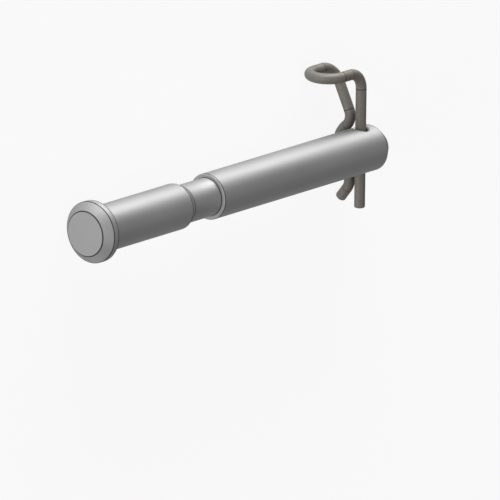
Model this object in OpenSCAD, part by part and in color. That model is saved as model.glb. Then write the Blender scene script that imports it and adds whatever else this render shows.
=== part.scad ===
// Headed brake pad pin with its bent wire retaining clip, in millimetres.
// The pin lies along +X with the underside of its head at X = 0, and the clip is turned to
// the side on which it comes to rest on a table.

/* [Shank] */
// Length from the underside of the head to the tip
shank_len = 55; // [48:0.5:70]
// Diameter of the two lands
land_d = 6; // [5.6:0.1:7]
// Length of the land next to the head
near_land_len = 15.4; // [8:0.1:20]
// Diameter of the neck between the lands
neck_d = 5; // [4:0.1:5.4]
// Length of the taper from the near land down to the neck
taper_len = 1; // [0.5:0.1:2]
// Length of the neck at its full depth
neck_len = 5.1; // [2:0.1:9]
// Width of the break on the shoulder's edge where the far land starts
edge_break = 0.15; // [0.05:0.05:0.3]
// Length of the chamfer at the tip
tip_chamfer_len = 1.5; // [0.8:0.1:1.8]
// Diameter of the flat end face at the tip
tip_face_d = 3.7; // [3:0.1:5]

/* [Head] */
// Diameter of the head
head_d = 8; // [7.4:0.1:10]
// Thickness of the head
head_thk = 2.05; // [1.6:0.05:3]
// Length of the chamfer round the head's outer face
head_chamfer_len = 1.1; // [0.5:0.05:1.3]
// Diameter of the head's flat outer face
head_face_d = 5.7; // [4.5:0.1:7]

/* [Cross hole] */
// Distance from the tip to the middle of the cross hole
hole_from_tip = 3.4; // [3.2:0.1:6]
// Play of the wire in the hole, on the diameter
hole_play = 0.35; // [0.2:0.05:0.5]
// Radius that the two mouths of the hole are rounded to
mouth_r = 0.35; // [0.2:0.05:0.45]

/* [Clip] */
// Diameter of the spring wire
wire_d = 1.4; // [1:0.05:1.5]
// Reach of the straight leg past the pin's axis, to its cut end
leg_reach = 7.6; // [6:0.1:10]
// Height of the loop's wire above the pin's axis
loop_height = 10.4; // [9.5:0.1:14]
// Distance between the loop's two sides, middle to middle of the wire
loop_w = 4.65; // [4.2:0.05:5.6]
// Length of the loop's straight sides
loop_side_len = 1.65; // [0.5:0.05:5]
// Radius of the two bends between the loop and the legs, at the middle of the wire
leg_bend_r = 2.2; // [1.5:0.1:2.6]
// Gap between the straight leg and the spring leg at its throat
throat_gap = 0.35; // [0.2:0.05:0.6]
// Radius of the bend at the upper throat, at the middle of the wire
throat_r = 1.7; // [1.2:0.1:2.2]
// Radius of the bend at the lower throat, at the middle of the wire
lead_in_r = 1.9; // [1.2:0.1:2.4]
// Running gap between the spring leg's saddle and the land that it hugs
saddle_gap = 0.03; // [0.02:0.01:0.1]
// Angle of the flared end to the straight leg
flare_angle = 38; // [25:1:50]
// Length of the flared end past its bend
flare_len = 1.75; // [1:0.05:4]
// Radius on the edge of the wire's two cut ends
wire_end_r = 0.2; // [0.05:0.05:0.4]

/* [Hidden] */
$fn = 96;

// Stations along the shank, from the underside of the head
taper_start = near_land_len;
neck_start = taper_start + taper_len;
far_land_start = neck_start + neck_len;
tip_chamfer_start = shank_len - tip_chamfer_len;
hole_x = shank_len - hole_from_tip;

land_r = land_d / 2;
neck_r = neck_d / 2;
wire_r = wire_d / 2;
hole_r = (wire_d + hole_play) / 2;
// Break on the edge round the head's underside
head_edge_break = 0.1;
// Height of the faint ring at each end of a bend, and how far each stretch stops short of it
mark_h = 0.004;
stretch_short = 0.01;

// Spring leg, in the plane of the two legs: across from the straight leg, then up
saddle_r = land_r + saddle_gap + wire_r;
throat_y = wire_d + throat_gap;
throat_half = acos((throat_y + throat_r) / (saddle_r + throat_r));
lead_in_half = acos((throat_y + lead_in_r) / (saddle_r + lead_in_r));
throat_centre = (saddle_r + throat_r) * [cos(throat_half), sin(throat_half)];

// The spring leg leaves the loop along the tangent from the loop's wire to the throat bend
loop_to_throat = [loop_w, loop_height] - throat_centre;
tangent_reach = norm(loop_to_throat);
lean = atan2(loop_to_throat[0], loop_to_throat[1]) + asin(throat_r / tangent_reach);
spring_len = sqrt(pow(tangent_reach, 2) - pow(throat_r, 2)) - leg_bend_r;

// The assembly rolls until the loop and the saddle both meet the table
rest_lift = acos(saddle_r / norm([loop_w, loop_height])) - atan2(loop_height, loop_w);
rest_roll = rest_lift - 90;

// Rounding of the hole's mouths: a ball of mouth_r rolled inside the metal, round the edge
mouth_sides = 48;
mouth_steps = 6;
// The arc stops short of tangency at both ends and runs on straight from there
mouth_short = 6;
mouth_overrun = 0.25;

// Outline of half the pin, as [station, radius]
pin_outline = [
    [-head_thk, 0],
    [-head_thk, head_face_d / 2],
    [-head_thk + head_chamfer_len, head_d / 2],
    [-head_edge_break, head_d / 2],
    [0, head_d / 2 - head_edge_break],
    [0, land_r],
    [taper_start, land_r],
    [neck_start, neck_r],
    [far_land_start, neck_r],
    [far_land_start, land_r - edge_break],
    [far_land_start + edge_break, land_r],
    [tip_chamfer_start, land_r],
    [shank_len, tip_face_d / 2],
    [shank_len, 0],
];

// Turns a shape made along +Z so that it runs along +X
module along_x() {
    rotate([0, 90, 0]) children();
}

// Places what is modelled with its legs upright on the side that it rests on
module as_it_lies() {
    rotate([rest_roll, 0, 0]) children();
}

// Centre of the rolling ball at one side angle round the hole, hole's axis along Z
function ball_centre(side) =
    let (across = (hole_r + mouth_r) * sin(side))
    [(hole_r + mouth_r) * cos(side), across, sqrt(pow(land_r - mouth_r, 2) - pow(across, 2))];

// Directions from that centre to where the ball touches the hole and the land
function to_hole(side) = [-cos(side), -sin(side), 0];
function to_land(side) = let (c = ball_centre(side)) [0, c[1], c[2]] / norm([c[1], c[2]]);

// Direction at a part angle of the arc from the first of those to the second
function arc_direction(side, angle) =
    let (
        first = to_hole(side),
        last = to_land(side),
        square = last - first * (first * last)
    )
    first * cos(angle) + square / norm(square) * sin(angle);

// One side's line over the rounding, from inside the hole to outside the land
function mouth_line(side) =
    let (
        c = ball_centre(side),
        sweep = acos(to_hole(side) * to_land(side)) - 2 * mouth_short,
        arc = [for (i = [0:mouth_steps])
            c + mouth_r * arc_direction(side, mouth_short + sweep * i / mouth_steps)],
        last = len(arc) - 1
    )
    concat(
        [arc[0] - arc_direction(side, mouth_short + 90) * mouth_overrun],
        arc,
        [arc[last] + arc_direction(side, mouth_short + sweep + 90) * mouth_overrun]
    );

// Cutter that rounds the upper mouth of the hole
module mouth_cutter() {
    lines = [for (s = [0:mouth_sides - 1]) mouth_line(360 * s / mouth_sides)];
    rows = len(lines[0]);
    points = [for (line = lines) each line];
    top_z = land_r + 1;
    bottom = len(points);
    top = bottom + 1;
    all_points = concat(points, [[0, 0, lines[0][0][2] - mouth_overrun], [0, 0, top_z]]);
    sides = [for (s = [0:mouth_sides - 1]) for (i = [0:rows - 2])
        let (a = s * rows + i, b = (s + 1) % mouth_sides * rows + i)
        each [[a, a + 1, b + 1], [a, b + 1, b]]];
    caps = [for (s = [0:mouth_sides - 1])
        let (a = s * rows, b = (s + 1) % mouth_sides * rows)
        each [[bottom, a, b], [top, b + rows - 1, a + rows - 1]]];
    polyhedron(points = all_points, faces = concat(sides, caps));
}

// Cross hole with its two rounded mouths
module cross_hole() {
    translate([hole_x, 0, 0]) {
        cylinder(r = hole_r, h = 2 * head_d, center = true);
        mouth_cutter();
        mirror([0, 0, 1]) mouth_cutter();
    }
}

// Turned pin: head, land, tapered neck, long land and chamfered tip
module pin() {
    color("#b8b8b8")
        as_it_lies()
            difference() {
                along_x()
                    rotate_extrude()
                        polygon([for (p = pin_outline) [p[1], p[0]]]);
                cross_hole();
            }
}

// A faint ring, as bending leaves where a bend starts or ends: it also joins the two
// stretches, which both stop a hair short of it
module bend_mark() {
    sphere(r = wire_r + mark_h);
}

// A stretch of wire along +Z whose far end is cut off, with the edge rounded
module wire_cut_end(length) {
    rotate_extrude()
        union() {
            translate([0, stretch_short]) square([wire_r, length - stretch_short - wire_end_r]);
            translate([0, length - wire_end_r]) square([wire_r - wire_end_r, wire_end_r]);
            translate([wire_r - wire_end_r, length - wire_end_r])
                intersection() {
                    circle(r = wire_end_r);
                    square(wire_end_r);
                }
        }
}

// A straight stretch along +Z, and what follows it
module wire_run(length) {
    bend_mark();
    translate([0, 0, stretch_short]) cylinder(r = wire_r, h = length - 2 * stretch_short);
    translate([0, 0, length]) children();
}

// A bend from +Z towards +X, turned first about the wire, and what follows it
module wire_bend(radius, angle, turn = 0) {
    trim = stretch_short / radius * 180 / PI;
    bend_mark();
    rotate([0, 0, turn])
        translate([radius, 0, 0]) {
            rotate([90, 0, 180])
                rotate_extrude(start = trim, angle = angle - 2 * trim)
                    translate([radius, 0]) circle(r = wire_r);
            rotate([0, angle, 0]) translate([-radius, 0, 0]) children();
        }
}

// The clip's wire from the foot of the loop, bent in the order in which a bender makes it
module wire() {
    leg_len = leg_reach + loop_height - leg_bend_r;
    mirror([0, 0, 1]) wire_cut_end(leg_len);
    wire_bend(leg_bend_r, 90, turn = 180)
    wire_run(loop_side_len)
    wire_bend(loop_w / 2, 180, turn = -90)
    wire_run(loop_side_len)
    wire_bend(leg_bend_r, 90, turn = 90 - lean)
    wire_run(spring_len)
    wire_bend(throat_r, lean + throat_half, turn = 90)
    wire_bend(saddle_r, throat_half + lead_in_half, turn = 180)
    wire_bend(lead_in_r, lead_in_half + flare_angle, turn = 180) {
        bend_mark();
        wire_cut_end(flare_len);
    }
}

// Retaining clip: one leg through the cross hole, the other sprung round the land
module clip() {
    color("#6e6964")
        as_it_lies()
            translate([hole_x, 0, loop_height - leg_bend_r])
                wire();
}

pin();
clip();
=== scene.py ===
# %% [markdown]
# # A brake pad pin and its wire clip
# The pin is a turned steel rod with a head, and it carries the pads of a disc brake. The clip
# is one bent spring wire through a hole near the pin's tip, and it keeps the pin from sliding
# out. Both could be modelled in an empty scene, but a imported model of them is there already.
# Loading it first gives one frame that every piece, lamp and camera is set by.

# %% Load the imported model
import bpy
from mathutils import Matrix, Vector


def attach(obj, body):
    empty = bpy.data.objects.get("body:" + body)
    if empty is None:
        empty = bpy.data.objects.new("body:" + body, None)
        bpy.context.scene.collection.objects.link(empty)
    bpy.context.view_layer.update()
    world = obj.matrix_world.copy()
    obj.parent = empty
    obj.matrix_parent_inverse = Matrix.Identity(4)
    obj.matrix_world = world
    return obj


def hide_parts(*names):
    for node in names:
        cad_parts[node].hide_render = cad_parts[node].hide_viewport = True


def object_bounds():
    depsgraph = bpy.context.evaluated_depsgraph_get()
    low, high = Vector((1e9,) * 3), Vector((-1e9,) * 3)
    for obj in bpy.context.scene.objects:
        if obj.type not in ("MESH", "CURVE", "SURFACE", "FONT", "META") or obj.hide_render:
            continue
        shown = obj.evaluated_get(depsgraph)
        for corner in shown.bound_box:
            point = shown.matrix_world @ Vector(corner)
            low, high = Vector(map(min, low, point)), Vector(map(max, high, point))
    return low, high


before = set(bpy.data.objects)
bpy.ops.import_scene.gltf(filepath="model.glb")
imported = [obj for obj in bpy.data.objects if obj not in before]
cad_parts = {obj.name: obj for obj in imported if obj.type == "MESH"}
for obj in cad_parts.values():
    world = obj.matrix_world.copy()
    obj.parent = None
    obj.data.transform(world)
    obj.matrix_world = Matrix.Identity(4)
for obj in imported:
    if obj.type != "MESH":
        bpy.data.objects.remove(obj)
cad_low, cad_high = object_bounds()

# %% [markdown]
# ## Units and sizes
# Sizes are written in millimetres, as on a drawing, and turned to metres where an operator
# needs them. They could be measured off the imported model, but a named size says what it is
# for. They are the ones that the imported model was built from, so nothing moves: Blender only
# gives the pieces a finer surface.

# %% Units and modules
from math import acos, asin, atan2, cos, degrees, hypot, pi, radians, sin, sqrt

import bmesh
import bpy
from mathutils import Matrix, Vector

MM = 0.001
print("packed box in mm", [round(s / MM, 2) for s in cad_high - cad_low])

# %% Sizes of the pin
SHANK_LENGTH = 55
LAND_R = 3
NEAR_LAND_END = 15.4
NECK_START, NECK_END, NECK_R = 16.4, 21.5, 2.5
SHOULDER_BREAK = 0.15
TIP_CHAMFER, TIP_FACE_R = 1.5, 1.85
HEAD_THICK, HEAD_R = 2.05, 4
HEAD_CHAMFER, HEAD_FACE_R = 1.1, 2.85
HEAD_BREAK = 0.1
HOLE_X = SHANK_LENGTH - 3.4
HOLE_R, MOUTH_R = 0.875, 0.35
print("pin is", HEAD_THICK + SHANK_LENGTH, "mm long and", 2 * HEAD_R, "across its head")

# %% Sizes of the clip
WIRE_R = 0.7
LEG_REACH = 7.6
LOOP_HEIGHT, LOOP_WIDTH, LOOP_SIDE = 10.4, 4.65, 1.65
LEG_BEND_R, THROAT_R, LEAD_IN_R = 2.2, 1.7, 1.9
THROAT_GAP, SADDLE_GAP = 0.35, 0.03
FLARE, FLARE_LENGTH = radians(38), 1.75
WIRE_END_R = 0.2
SADDLE_R = LAND_R + SADDLE_GAP + WIRE_R
print("wire is", 2 * WIRE_R, "mm thick, and its saddle is bent to", round(SADDLE_R, 2))

# %% [markdown]
# The pin and its clip come to rest with the loop and the saddle on the table. They could be
# modelled as they lie, but with the clip's legs upright each bend is easier to think about.
# So they are made upright, and then laid over by the angle at which a line along the table
# touches both the loop and the saddle.

# %% How far it is laid over
LIFT = acos(SADDLE_R / hypot(LOOP_WIDTH, LOOP_HEIGHT)) - atan2(LOOP_HEIGHT, LOOP_WIDTH)
LAID_OVER = LIFT - pi / 2
print("laid over by", round(degrees(LAID_OVER), 3), "degrees")

# %% [markdown]
# ## Camera
# The view to match is in parallel projection, with the loop upright. An orthographic camera
# would give it, but that has no horizon, so the floor would end in views from low down. A
# very long lens far away comes within a pixel of it and keeps the horizon. The real pin lies
# on its side, so the camera is laid over by the same angle.

# %% Camera
VIEW_AZIMUTH = radians(49.688)
VIEW_ELEVATION = radians(15.900)
VIEW_ROLL = radians(0.734)
LENS, SENSOR = 1500, 36
CENTRE_ACROSS, CENTRE_UP = 19.429, -2.408
CAMERA_AWAY = 2622.5
NEAREST_SEEN, FARTHEST_SEEN = 0.1, 20


def view_axes():
    """The camera's right, up and backward directions, in the model's frame."""
    a, e = VIEW_AZIMUTH, VIEW_ELEVATION
    across = Vector((cos(a), -sin(a), 0))
    upward = Vector((sin(a) * sin(e), cos(a) * sin(e), cos(e)))
    backward = Vector((-sin(a) * cos(e), -cos(a) * cos(e), sin(e)))
    right = across * cos(VIEW_ROLL) + upward * sin(VIEW_ROLL)
    up = upward * cos(VIEW_ROLL) - across * sin(VIEW_ROLL)
    laid = Matrix.Rotation(LAID_OVER, 3, "X")
    return laid @ right, laid @ up, laid @ backward


right, up, backward = view_axes()
camera_data = bpy.data.cameras.new("camera")
camera_data.lens = LENS
camera_data.sensor_width = SENSOR
camera_data.clip_start, camera_data.clip_end = NEAREST_SEEN, FARTHEST_SEEN
camera = bpy.data.objects.new("camera", camera_data)
turn = Matrix((right, up, backward)).transposed()
place = (right * CENTRE_ACROSS + up * CENTRE_UP + backward * CAMERA_AWAY) * MM
camera.matrix_world = Matrix.LocRotScale(place, turn.to_quaternion(), None)
bpy.context.scene.collection.objects.link(camera)
bpy.context.scene.camera = camera
print("camera at mm", [round(c / MM) for c in place])

# %% [markdown]
# ## Colours and nodes
# A colour is picked as the hex value that a screen shows, but Blender works in linear light,
# so one function turns the one into the other. Nodes could be added and wired line by line.
# A second function does that in one call, and each material below then reads as a list.

# %% Colours and nodes
def linear(hex_colour):
    """A #rrggbb colour as linear red, green, blue and an alpha of one."""
    parts = [int(hex_colour[i:i + 2], 16) / 255 for i in (1, 3, 5)]
    return [p / 12.92 if p <= 0.04045 else ((p + 0.055) / 1.055) ** 2.4 for p in parts] + [1]


def add(tree, kind, inputs=(), **settings):
    """Adds a node. Inputs is a list of (socket, value or the output that feeds it)."""
    node = tree.nodes.new(kind)
    for name, value in settings.items():
        setattr(node, name, value)
    for socket, value in inputs:
        if isinstance(value, bpy.types.NodeSocket):
            tree.links.new(value, node.inputs[socket])
        else:
            node.inputs[socket].default_value = value
    return node


def new_material(name):
    """A material with nothing in it, and its node tree."""
    material = bpy.data.materials.new(name)
    material.use_nodes = True
    material.node_tree.nodes.clear()
    return material, material.node_tree


print("mid grey is", round(linear("#808080")[0], 3), "in linear light")

# %% [markdown]
# ## Floor
# The floor is a sheet of white paper. A plain white material would need so much light to
# look white that the steel would burn out. So a camera, a mirror and a lens see most of it
# as plain white, and the rest is real paper, which keeps the soft shadow under the pin.

# %% Floor
FLOOR_SIZE = 8
WHITE_SHARE = 0.88


def white_paper():
    """Uncoated paper: dull and even, with no highlight at all."""
    material, tree = new_material("white_paper")
    path = add(tree, "ShaderNodeLightPath")
    seen = add(tree, "ShaderNodeMath", [(0, path.outputs["Is Camera Ray"]),
                                        (1, path.outputs["Is Glossy Ray"])])
    seen = add(tree, "ShaderNodeMath", [(0, seen.outputs[0]),
                                        (1, path.outputs["Is Transmission Ray"])], use_clamp=True)
    share = add(tree, "ShaderNodeMath", [(0, seen.outputs[0]), (1, WHITE_SHARE)],
                operation="MULTIPLY")
    fibre = add(tree, "ShaderNodeBsdfDiffuse", [("Color", linear("#F4F4F4"))])
    white = add(tree, "ShaderNodeEmission", [("Color", linear("#FFFFFF")), ("Strength", 1)])
    mix = add(tree, "ShaderNodeMixShader", [(0, share.outputs[0]), (1, fibre.outputs[0]),
                                            (2, white.outputs[0])])
    add(tree, "ShaderNodeOutputMaterial", [("Surface", mix.outputs[0])])
    return material


bpy.ops.object.select_all(action="DESELECT")
bpy.ops.mesh.primitive_plane_add(size=FLOOR_SIZE, location=(0, 0, cad_low.z))
floor = bpy.context.object
floor.name = "floor"
floor.data.materials.append(white_paper())
print("floor at", round(cad_low.z / MM, 3), "mm")

# %% [markdown]
# ## Light
# A turned rod mirrors the room along its length, so it is lit by what stands round it. One
# lamp overhead would do for a dull part, but steel needs a bright lamp where it mirrors one,
# and a room that is darker than the paper. Two lamps stand low beyond the loop, and make the
# bright band along the rod. A weaker one beyond the head lights the head's face and gives the
# wire a light left side and a dark right one. A large weak one overhead lights the paper.

# %% Light
ROOM_GREY = "#7C7C7C"
LAMP_AWAY = 1.2
LOW_LAMP, WIDE_LAMP = (0.8, 0.3), (1.6, 1.6)
LAMPS = [
    ("strip_lamp", (0.56, 0.83, 0.14), LOW_LAMP, 7.5),
    ("side_lamp", (0, 1, 0.14), LOW_LAMP, 15.5),
    ("head_lamp", (-1, 0, 0.14), LOW_LAMP, 7),
    ("over_lamp", (-0.21, -0.37, 0.91), WIDE_LAMP, 0.6),
]


def lamp(name, direction, size, radiance):
    """A soft lamp that faces the pin from a direction. Radiance 1 shows as plain white."""
    data = bpy.data.lights.new(name, "AREA")
    data.shape = "RECTANGLE"
    data.size, data.size_y = size
    data.energy = radiance * pi * size[0] * size[1]
    holder = bpy.data.objects.new(name, data)
    outward = Vector(direction).normalized()
    holder.location = outward * LAMP_AWAY
    holder.rotation_mode = "QUATERNION"
    holder.rotation_quaternion = outward.to_track_quat("Z", "Y")
    holder.visible_camera = False
    bpy.context.scene.collection.objects.link(holder)


world = bpy.data.worlds.new("room")
world.use_nodes = True
world.node_tree.nodes["Background"].inputs["Color"].default_value = linear(ROOM_GREY)
bpy.context.scene.world = world
bpy.context.scene.view_settings.view_transform = "Standard"
for name, direction, size, radiance in LAMPS:
    lamp(name, direction, size, radiance)

# %% [markdown]
# ## Pin: turned from bar
# A lathe shapes the real pin, one diameter after the other. A revolved profile would give
# the same form, but here one ring is drawn at the head's face, and extruded and scaled from
# station to station down to the tip, because each step is then one that a hand makes.

# %% Helpers for modelling
def only(piece):
    """Makes one object the selected and active one."""
    bpy.ops.object.select_all(action="DESELECT")
    piece.select_set(True)
    bpy.context.view_layer.objects.active = piece


def mm(*values):
    """Millimetres to metres, for an operator."""
    return tuple(v * MM for v in values)


def select_edges(piece, rule):
    """In edit mode, selects the edges of which both ends meet a rule on (x, y, z) in mm."""
    bpy.ops.mesh.select_all(action="DESELECT")
    mesh = bmesh.from_edit_mesh(piece.data)
    chosen = [e for e in mesh.edges if all(rule(*(v.co / MM)) for v in e.verts)]
    for edge in chosen:
        edge.select_set(True)
    bmesh.update_edit_mesh(piece.data)
    return len(chosen)


print("helpers ready")

# %% Turn the outline
PIN_SIDES = 192
BESIDE_HOLE = 1.7  # a ring on each side of the hole keeps the faces that it cuts short
OUTLINE = [
    (-HEAD_THICK, HEAD_FACE_R),
    (-HEAD_THICK + HEAD_CHAMFER, HEAD_R),
    (-HEAD_BREAK, HEAD_R),
    (0, HEAD_R - HEAD_BREAK),
    (0, LAND_R),
    (NEAR_LAND_END, LAND_R),
    (NECK_START, NECK_R),
    (NECK_END, NECK_R),
    (NECK_END, LAND_R - SHOULDER_BREAK),
    (NECK_END + SHOULDER_BREAK, LAND_R),
    (HOLE_X - BESIDE_HOLE, LAND_R),
    (HOLE_X + BESIDE_HOLE, LAND_R),
    (SHANK_LENGTH - TIP_CHAMFER, LAND_R),
    (SHANK_LENGTH, TIP_FACE_R),
]


def turned(outline):
    """Draws the first ring and extrudes it from station to station."""
    x, radius = outline[0]
    bpy.ops.object.select_all(action="DESELECT")
    bpy.ops.mesh.primitive_circle_add(vertices=PIN_SIDES, radius=radius * MM,
                                      location=mm(x, 0, 0), rotation=(0, pi / 2, 0))
    bpy.ops.object.transform_apply(location=True, rotation=True)
    bpy.ops.object.mode_set(mode="EDIT")
    bpy.ops.mesh.edge_face_add()
    select_edges(bpy.context.object, lambda *p: True)
    for next_x, next_radius in outline[1:]:
        move = {"value": mm(next_x - x, 0, 0)}
        bpy.ops.mesh.extrude_edges_move(TRANSFORM_OT_translate=move)
        wider = next_radius / radius
        bpy.ops.transform.resize(value=(1, wider, wider), center_override=mm(next_x, 0, 0))
        x, radius = next_x, next_radius
    bpy.ops.mesh.edge_face_add()
    bpy.ops.mesh.select_all(action="SELECT")
    bpy.ops.mesh.normals_make_consistent(inside=False)
    bpy.ops.object.mode_set(mode="OBJECT")
    return bpy.context.object


pin = turned(OUTLINE)
pin.name = "turned_pin"
print("pin has", len(pin.data.polygons), "faces")

# %% [markdown]
# ## Pin: broken edges
# No real edge is perfectly sharp. The lathe's last pass breaks each one by a few hundredths
# of a millimetre, and its rounded nose leaves a small fillet in each corner. A bevel shader
# could fake that in the light only. These are real bevels, so the mesh has them too.

# %% Break the edges
ON_A_RING = 0.002
EDGE, FINE_EDGE, CORNER, TAPER_END = 0.05, 0.03, 0.05, 0.08
BREAK_STEPS = 3
EDGE_BREAKS = [
    (EDGE, [OUTLINE[0], OUTLINE[1], OUTLINE[-2], OUTLINE[-1]]),  # head's face, tip
    (FINE_EDGE, [OUTLINE[2], OUTLINE[3], OUTLINE[8], OUTLINE[9]]),  # head's rim, shoulder's rim
    (CORNER, [OUTLINE[4], OUTLINE[7]]),  # under the head and at the shoulder's foot
    (TAPER_END, [OUTLINE[5], OUTLINE[6]]),
]


def break_edges(piece, width, stations):
    """In edit mode, bevels the rings that lie at the given stations."""
    def on_a_station(x, y, z):
        return any(abs(x - s) + abs(hypot(y, z) - r) < ON_A_RING for s, r in stations)
    count = select_edges(piece, on_a_station)
    bpy.ops.mesh.bevel(offset=width * MM, segments=BREAK_STEPS, profile=0.5, affect="EDGES")
    return count


only(pin)
bpy.ops.object.mode_set(mode="EDIT")
for width, stations in EDGE_BREAKS:
    print("broke", break_edges(pin, width, stations), "edges by", width, "mm")
bpy.ops.object.mode_set(mode="OBJECT")

# %% [markdown]
# ## Pin: cross hole
# The hole is drilled, and both of its mouths are rounded so that they don't nick the wire.
# A plain bevel would do on a flat face, but this rounding follows the round of the land. It
# is the track of a small ball that rolls round the mouth, inside the metal. So the cutter is
# a ring extruded up the hole, and each new ring is set where the ball touches. The first of
# them lies on the hole's own wall, because a drilled hole is straight right up to its mouth.

# %% Where the rolling ball touches
MOUTH_RINGS = 7
LAST_TOUCH = 0.94  # just short of the land, so that the cutter crosses it and doesn't graze it
RUN_ON = 0.3


def ball_touch(side, share):
    """A point of the rounding in mm: a share of 0 is on the hole's wall, 1 on the land."""
    out = HOLE_R + MOUTH_R
    centre = Vector((out * cos(side), out * sin(side), 0))
    centre.z = sqrt((LAND_R - MOUTH_R) ** 2 - centre.y ** 2)
    to_hole = Vector((-cos(side), -sin(side), 0))
    to_land = Vector((0, centre.y, centre.z)).normalized()
    return centre + to_hole.slerp(to_land, share) * MOUTH_R


def past_land(side, before):
    """A point outside the land, on the line through an earlier touch and the last one."""
    last = ball_touch(side, LAST_TOUCH)
    return last + (last - ball_touch(side, before)).normalized() * RUN_ON


print("ball touches the hole's wall", round(ball_touch(0, 0).z, 2), "mm above the axis")

# %% Make the cutter
CUTTER_SIDES = 96
OVER_LAND = 1
SAME_POINT = 0.001


def set_ring(piece, place):
    """In edit mode, extrudes the selected ring and sets each new point by its side angle."""
    bpy.ops.mesh.extrude_edges_move()
    mesh = bmesh.from_edit_mesh(piece.data)
    for point in mesh.verts:
        if point.select:
            point.co = place(atan2(point.co.y, point.co.x)) * MM
    bmesh.update_edit_mesh(piece.data)


def mouth_cutter():
    """Half of the hole and one rounded mouth, along +Z, with its far end over the land."""
    bpy.ops.object.select_all(action="DESELECT")
    bpy.ops.mesh.primitive_circle_add(vertices=CUTTER_SIDES, radius=HOLE_R * MM)
    cutter = bpy.context.object
    bpy.ops.object.mode_set(mode="EDIT")
    step = LAST_TOUCH / (MOUTH_RINGS - 1)
    for share in [step * i for i in range(MOUTH_RINGS)]:
        set_ring(cutter, lambda side: ball_touch(side, share))
    set_ring(cutter, lambda side: past_land(side, LAST_TOUCH - step))
    bpy.ops.mesh.extrude_edges_move(TRANSFORM_OT_translate={"value": mm(0, 0, OVER_LAND)})
    level = mm(0, 0, LAND_R + OVER_LAND)
    bpy.ops.transform.resize(value=(1, 1, 0), center_override=level)
    bpy.ops.mesh.edge_face_add()
    return cutter


def double_cutter():
    """The cutter and its mirror image, joined in the middle of the hole."""
    cutter = mouth_cutter()
    bpy.ops.mesh.select_all(action="SELECT")
    bpy.ops.mesh.duplicate()
    bpy.ops.transform.resize(value=(1, 1, -1), center_override=(0, 0, 0))
    bpy.ops.mesh.select_all(action="SELECT")
    bpy.ops.mesh.remove_doubles(threshold=SAME_POINT * MM)
    bpy.ops.mesh.normals_make_consistent(inside=False)
    bpy.ops.object.mode_set(mode="OBJECT")
    cutter.location.x = HOLE_X * MM
    bpy.ops.object.transform_apply(location=True)
    return cutter


cutter = double_cutter()
print("cutter has", len(cutter.data.polygons), "faces")

# %% Drill the cross hole
drill = pin.modifiers.new("cross_hole", "BOOLEAN")
drill.object = cutter
drill.operation = "DIFFERENCE"
drill.solver = "EXACT"
only(pin)
bpy.ops.object.modifier_apply(modifier="cross_hole")
bpy.data.objects.remove(cutter)
print("pin has", len(pin.data.polygons), "faces after drilling")

# %% [markdown]
# ## Pin: smooth and laid over
# The lathe leaves round faces truly round. More sides could show that, but smooth shading
# does it with fewer: corners sharper than an angle stay crisp, and the large faces lead the
# shading, so the flats stay flat beside their bevels. The pin is then laid over in its mesh.

# %% Smooth the pin and lay it over
PIN_CORNER, WIRE_CORNER = radians(32), radians(40)


def finish_surface(piece, corner):
    """Smooths a piece, but keeps its corners, and lets its large faces lead the shading."""
    only(piece)
    bpy.ops.object.shade_smooth_by_angle(angle=corner)
    weighted = piece.modifiers.new("weighted", "WEIGHTED_NORMAL")
    weighted.keep_sharp = True
    bpy.ops.object.modifier_apply(modifier="weighted")


def lay_over(piece):
    """Turns a piece from legs upright to how it rests, and leaves its object unturned."""
    only(piece)
    piece.rotation_euler = (LAID_OVER, 0, 0)
    bpy.ops.object.transform_apply(rotation=True)


lay_over(pin)
finish_surface(pin, PIN_CORNER)
print("pin's box in mm", [round(v / MM, 2) for v in pin.dimensions])

# %% [markdown]
# ## Clip: bent from one wire
# A bender feeds straight wire and folds it round a peg, again and again. A curve with a round
# bevel could give the same wire, but its bends would only be near to true arcs. Here the feed
# is an extrude and the fold is a spin, in the bender's own order. The ring of points at the
# wire's end stays selected, so each step goes on from the last.

# %% A peg's mark
BEND_MARK = 0.1  # width in mm of the ring that a peg presses into the wire


def note_bend(piece, known_faces, marked):
    """Clears the mark on new faces, then sets it on the faces round the selected ring."""
    mesh = bmesh.from_edit_mesh(piece.data)
    marks = mesh.faces.layers.float
    layer = marks.get("bend_mark") or marks.new("bend_mark")
    mesh.faces.ensure_lookup_table()
    for face in mesh.faces[known_faces:]:
        face[layer] = 0
    for edge in [e for e in mesh.edges if e.select and marked]:
        for face in edge.link_faces:
            face[layer] = 1
    bmesh.update_edit_mesh(piece.data)
    return len(mesh.faces)


print("a bend mark is", BEND_MARK, "mm wide")

# %% A wire bender
WIRE_SIDES = 40
DEGREES_A_STEP = 2
CUT_STEPS = 5


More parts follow.
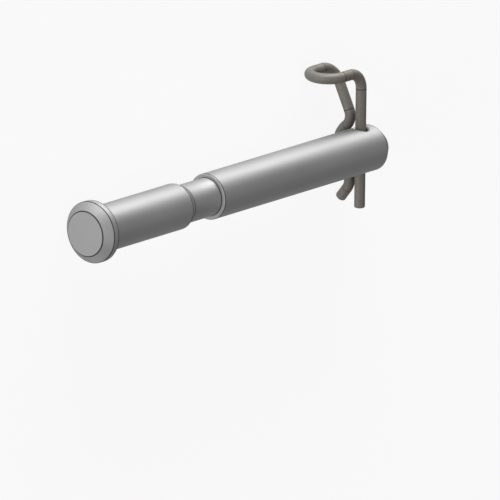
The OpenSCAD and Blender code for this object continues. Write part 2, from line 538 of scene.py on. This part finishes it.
class Bender:
    """Keeps the place and the turn of the wire's end while the wire grows from there."""

    def __init__(self, start, rings_turn):
        bpy.ops.object.select_all(action="DESELECT")
        bpy.ops.mesh.primitive_circle_add(vertices=WIRE_SIDES, radius=WIRE_R * MM)
        self.piece = bpy.context.object
        self.piece.matrix_world = Matrix.Translation(Vector(start) * MM) @ rings_turn.to_4x4()
        bpy.ops.object.transform_apply(location=True, rotation=True)
        bpy.ops.object.mode_set(mode="EDIT")
        self.place, self.turn = Vector(start), rings_turn.copy()
        self.faces = 0

    def feed(self, length, before_a_fold=True):
        """Feeds straight wire. Where a fold follows, its peg marks the end of it."""
        mark = BEND_MARK if before_a_fold else 0
        for part in (length - mark, mark):
            ahead = self.turn @ Vector((0, 0, part))
            if part:
                bpy.ops.mesh.extrude_edges_move(TRANSFORM_OT_translate={"value": mm(*ahead)})
                self.faces = note_bend(self.piece, self.faces, marked=part == mark)
            self.place += ahead

    def fold(self, radius, angle, roll=0):
        """Folds towards the wire's own +X, once the wire is rolled."""
        self.turn = self.turn @ Matrix.Rotation(roll, 3, "Z")
        peg = self.place + self.turn @ Vector((radius, 0, 0))
        axis = self.turn @ Vector((0, 1, 0))
        steps = max(2, round(degrees(angle) / DEGREES_A_STEP))
        bpy.ops.mesh.spin(steps=steps, angle=-angle, center=mm(*peg), axis=axis)
        swing = Matrix.Rotation(angle, 3, axis)
        self.place = peg + swing @ (self.place - peg)
        self.turn = swing @ self.turn
        self.faces = note_bend(self.piece, self.faces, marked=True)

    def cut(self):
        """Closes the wire's end, and rounds the edge of the cut."""
        bpy.ops.mesh.edge_face_add()
        bpy.ops.mesh.region_to_loop()
        bpy.ops.mesh.bevel(offset=WIRE_END_R * MM, segments=CUT_STEPS, profile=0.5,
                           affect="EDGES")


print("a wire of", WIRE_SIDES, "sides, and a step for each", DEGREES_A_STEP, "degrees of bend")

# %% [markdown]
# ## Clip: spring leg
# The spring leg leaves the loop, narrows to a throat beside the straight leg, hugs the land
# and flares out. Its points could be placed by eye, but then it wouldn't quite meet the pin.
# Its angles follow from circles that touch instead: the saddle round the pin, the throat
# above it and the lead-in below it.

# %% Angles of the spring leg
THROAT_ACROSS = 2 * WIRE_R + THROAT_GAP
THROAT_HALF = acos((THROAT_ACROSS + THROAT_R) / (SADDLE_R + THROAT_R))
LEAD_IN_HALF = acos((THROAT_ACROSS + LEAD_IN_R) / (SADDLE_R + LEAD_IN_R))
throat_centre = Vector((cos(THROAT_HALF), sin(THROAT_HALF))) * (SADDLE_R + THROAT_R)
to_loop = Vector((LOOP_WIDTH, LOOP_HEIGHT)) - throat_centre
LEAN = atan2(to_loop.x, to_loop.y) + asin(THROAT_R / to_loop.length)
SPRING_LENGTH = sqrt(to_loop.length ** 2 - THROAT_R ** 2) - LEG_BEND_R
print("spring leg leans", round(degrees(LEAN), 2), "degrees over", round(SPRING_LENGTH, 2), "mm")

# %% Bend the clip
QUARTER, HALF = pi / 2, pi
bottom = (HOLE_X, 0, -LEG_REACH)
wire = Bender(bottom, Matrix.Identity(3))
wire.feed(LEG_REACH + LOOP_HEIGHT - LEG_BEND_R)
wire.fold(LEG_BEND_R, QUARTER, roll=HALF)
wire.feed(LOOP_SIDE)
wire.fold(LOOP_WIDTH / 2, HALF, roll=-QUARTER)
wire.feed(LOOP_SIDE)
wire.fold(LEG_BEND_R, QUARTER, roll=QUARTER - LEAN)
wire.feed(SPRING_LENGTH)
wire.fold(THROAT_R, LEAN + THROAT_HALF, roll=QUARTER)
wire.fold(SADDLE_R, THROAT_HALF + LEAD_IN_HALF, roll=HALF)
wire.fold(LEAD_IN_R, LEAD_IN_HALF + FLARE, roll=HALF)
wire.feed(FLARE_LENGTH, before_a_fold=False)
wire.cut()
print("flare ends at mm", [round(c, 2) for c in wire.place])

# %% Cut the straight leg and lay the clip over
clip = wire.piece
clip.name = "wire_clip"
select_edges(clip, lambda x, y, z: abs(z + LEG_REACH) < SAME_POINT)
wire.cut()
bpy.ops.mesh.select_all(action="SELECT")
bpy.ops.mesh.normals_make_consistent(inside=False)
bpy.ops.object.mode_set(mode="OBJECT")
lay_over(clip)
finish_surface(clip, WIRE_CORNER)
print("clip's box in mm", [round(v / MM, 2) for v in clip.dimensions], len(clip.data.polygons))

# %% [markdown]
# ## Patterns from real sizes
# A tool leaves fine rings round a turned pin, and concentric ones on its flat faces. A wave
# texture could draw them, but too evenly. So both come from one noise that is read by station
# and radius only. Each pattern's scale is worked out from a size in millimetres, and a mask
# picks out the thin bands at the edges, where shade is painted.

# %% Helpers for patterns
MIX_FIRST, MIX_SECOND, MIX_RESULT = 6, 7, 2  # the Mix node's sockets for colours
NOISE_LOW, NOISE_HIGH = 0.3, 0.7  # nearly all of a noise texture lies between these


def per_metre(size_mm):
    """A texture scale at which its pattern repeats about once in a size."""
    return 1 / (size_mm * MM)


def station_and_radius(tree):
    """The place along the pin and the distance from its axis, for any point of it."""
    place = add(tree, "ShaderNodeTexCoord").outputs["Object"]
    split = add(tree, "ShaderNodeSeparateXYZ", [(0, place)])
    across = add(tree, "ShaderNodeCombineXYZ", [("Y", split.outputs["Y"]),
                                                ("Z", split.outputs["Z"])])
    radius = add(tree, "ShaderNodeVectorMath", [(0, across.outputs[0])], operation="LENGTH")
    return split.outputs["X"], radius.outputs["Value"]


def bands(tree, along, stations, half_width):
    """One within a half width of any of the stations, in mm, and nought elsewhere."""
    found = 0.0
    for station in stations:
        hit = add(tree, "ShaderNodeMath", [(0, along), (1, station * MM), (2, half_width * MM)],
                  operation="COMPARE")
        found = add(tree, "ShaderNodeMath", [(0, found), (1, hit.outputs[0])],
                    operation="MAXIMUM").outputs[0]
    return found


print("a pattern of 1 mm has scale", round(per_metre(1)))

# %% [markdown]
# ## Pin steel
# The pin is plain carbon steel bar, turned, with its lands ground. One even grey would look
# like plastic. The eye gets a broad soft band along the rod, because grinding leaves steel
# satin, and fine rings round it from the tool. Thin dark lines are painted round it at the
# edges and corners as shade, and the head's face is painted a little darker, as shade.

# %% Pin steel
FEED_MARK = 0.3  # the real marks are about 0.1 mm apart, too fine to show, so drawn coarser
MARK_DEPTH = 0.0015
HANDLING = 5  # size in mm of the patches that fingers and oil leave a little duller
SATIN = (0.57, 0.63)
EDGE_SHADE_HALF = 0.06  # half the width of a painted line of shade
BEHIND_FACE = 0.07  # just clear of the head's face, which gets no painted line
BESIDE_EDGE = 0.04
# the stations where a thin dark line is painted round the pin, as shade at an edge or in a corner
PAINTED_EDGE_SHADE = [
    -HEAD_THICK + BEHIND_FACE,
    -HEAD_THICK + HEAD_CHAMFER,
    -HEAD_BREAK - BESIDE_EDGE,
    NEAR_LAND_END,
    NECK_START,
    NECK_END - EDGE_SHADE_HALF,  # painted shade in the corner at the shoulder's foot
    NECK_END + SHOULDER_BREAK + BESIDE_EDGE,
    SHANK_LENGTH - TIP_CHAMFER,
]
FACED = 0.01  # how near the head's face a point lies to be on it


def turned_steel():
    """Satin steel: neutral grey, duller at a glancing angle for the oil on it."""
    material, tree = new_material("turned_and_ground_steel")
    along, radius = station_and_radius(tree)
    lathe = add(tree, "ShaderNodeCombineXYZ", [("X", along), ("Y", radius)])
    rings = add(tree, "ShaderNodeTexNoise", [("Vector", lathe.outputs[0]),
                                             ("Scale", per_metre(FEED_MARK)), ("Detail", 2)])
    place = add(tree, "ShaderNodeTexCoord").outputs["Object"]
    touched = add(tree, "ShaderNodeTexNoise", [("Vector", place), ("Scale", per_metre(HANDLING)),
                                               ("Detail", 4)])
    ringed = add(tree, "ShaderNodeMix", [("Factor", rings.outputs["Fac"]),
                                         (MIX_FIRST, linear("#ABACAC")),
                                         (MIX_SECOND, linear("#B4B4B3"))], data_type="RGBA")
    # the head's face gets a slightly darker grey: painted shade that tones down the light it
    # catches
    on_face = bands(tree, along, [-HEAD_THICK], FACED)
    face_painted_darker = add(tree, "ShaderNodeMix", [("Factor", on_face),
                                        (MIX_FIRST, ringed.outputs[MIX_RESULT]),
                                        (MIX_SECOND, linear("#AAAAAA"))], data_type="RGBA")
    # thin dark lines painted round the pin at its edges and corners: painted shade
    edge_shade_mask = bands(tree, along, PAINTED_EDGE_SHADE, EDGE_SHADE_HALF)
    edge_shaded = add(tree, "ShaderNodeMix", [("Factor", edge_shade_mask),
                                        (MIX_FIRST, face_painted_darker.outputs[MIX_RESULT]),
                                        (MIX_SECOND, linear("#4C4C4B"))], data_type="RGBA")
    rough = add(tree, "ShaderNodeMapRange", [("Value", touched.outputs["Fac"]),
                                             ("From Min", NOISE_LOW), ("From Max", NOISE_HIGH),
                                             ("To Min", SATIN[0]), ("To Max", SATIN[1])])
    bump = add(tree, "ShaderNodeBump", [("Height", rings.outputs["Fac"]),
                                        ("Distance", MARK_DEPTH * MM), ("Strength", 1)])
    steel = add(tree, "ShaderNodeBsdfPrincipled", [("Base Color", edge_shaded.outputs[MIX_RESULT]),
                                                   ("Metallic", 1),
                                                   ("Roughness", rough.outputs["Result"]),
                                                   ("Specular Tint", linear("#808080")),
                                                   ("Normal", bump.outputs["Normal"])])
    add(tree, "ShaderNodeOutputMaterial", [("Surface", steel.outputs[0])])
    return material


def dress(piece, material, node):
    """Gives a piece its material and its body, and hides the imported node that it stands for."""
    piece.data.materials.clear()
    piece.data.materials.append(material)
    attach(piece, "root")
    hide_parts(node)


dress(pin, turned_steel(), "pin")
print("pin steel has", len(pin.data.materials[0].node_tree.nodes), "nodes")

# %% [markdown]
# ## Clip wire
# The clip is drawn spring steel wire with a phosphate coat, which holds oil against rust. Bare
# metal would be too bright. The eye gets a warm dark grey that is nearly dull, with the fine
# grain of the coat's crystals, oily patches that shine a little more, and a dark ring where
# a peg of the bender pressed at the start and end of each bend.

# %% Clip wire
CRYSTAL = 0.25  # real phosphate crystals are about 0.01 mm across, so drawn much coarser
CRYSTAL_HEIGHT = 0.003
OIL_PATCH = 2.5
COATED = (0.56, 0.66)
METAL_SHARE = 0.6  # the thin coat scatters part of the light, and the steel mirrors the rest


def spring_wire():
    """Phosphated wire with oil on it: dark, warm and soft, with hardly a highlight."""
    material, tree = new_material("phosphated_spring_wire")
    place = add(tree, "ShaderNodeTexCoord").outputs["Object"]
    grain = add(tree, "ShaderNodeTexNoise", [("Vector", place), ("Scale", per_metre(CRYSTAL)),
                                             ("Detail", 3)])
    patches = add(tree, "ShaderNodeTexNoise", [("Vector", place), ("Scale", per_metre(OIL_PATCH)),
                                               ("Detail", 3)])
    coat = add(tree, "ShaderNodeMix", [("Factor", grain.outputs["Fac"]),
                                       (MIX_FIRST, linear("#716C67")),
                                       (MIX_SECOND, linear("#8B8781"))], data_type="RGBA")
    pressed = add(tree, "ShaderNodeAttribute", attribute_name="bend_mark")
    marked = add(tree, "ShaderNodeMix", [("Factor", pressed.outputs["Fac"]),
                                         (MIX_FIRST, coat.outputs[MIX_RESULT]),
                                         (MIX_SECOND, linear("#3B3835"))], data_type="RGBA")
    rough = add(tree, "ShaderNodeMapRange", [("Value", patches.outputs["Fac"]),
                                             ("From Min", NOISE_LOW), ("From Max", NOISE_HIGH),
                                             ("To Min", COATED[0]), ("To Max", COATED[1])])
    bump = add(tree, "ShaderNodeBump", [("Height", grain.outputs["Fac"]),
                                        ("Distance", CRYSTAL_HEIGHT * MM), ("Strength", 1)])
    coated = add(tree, "ShaderNodeBsdfPrincipled", [("Base Color", marked.outputs[MIX_RESULT]),
                                                    ("Metallic", METAL_SHARE),
                                                    ("Roughness", rough.outputs["Result"]),
                                                    ("Normal", bump.outputs["Normal"])])
    add(tree, "ShaderNodeOutputMaterial", [("Surface", coated.outputs[0])])
    return material


dress(clip, spring_wire(), "clip")
print("clip wire has", len(clip.data.materials[0].node_tree.nodes), "nodes")
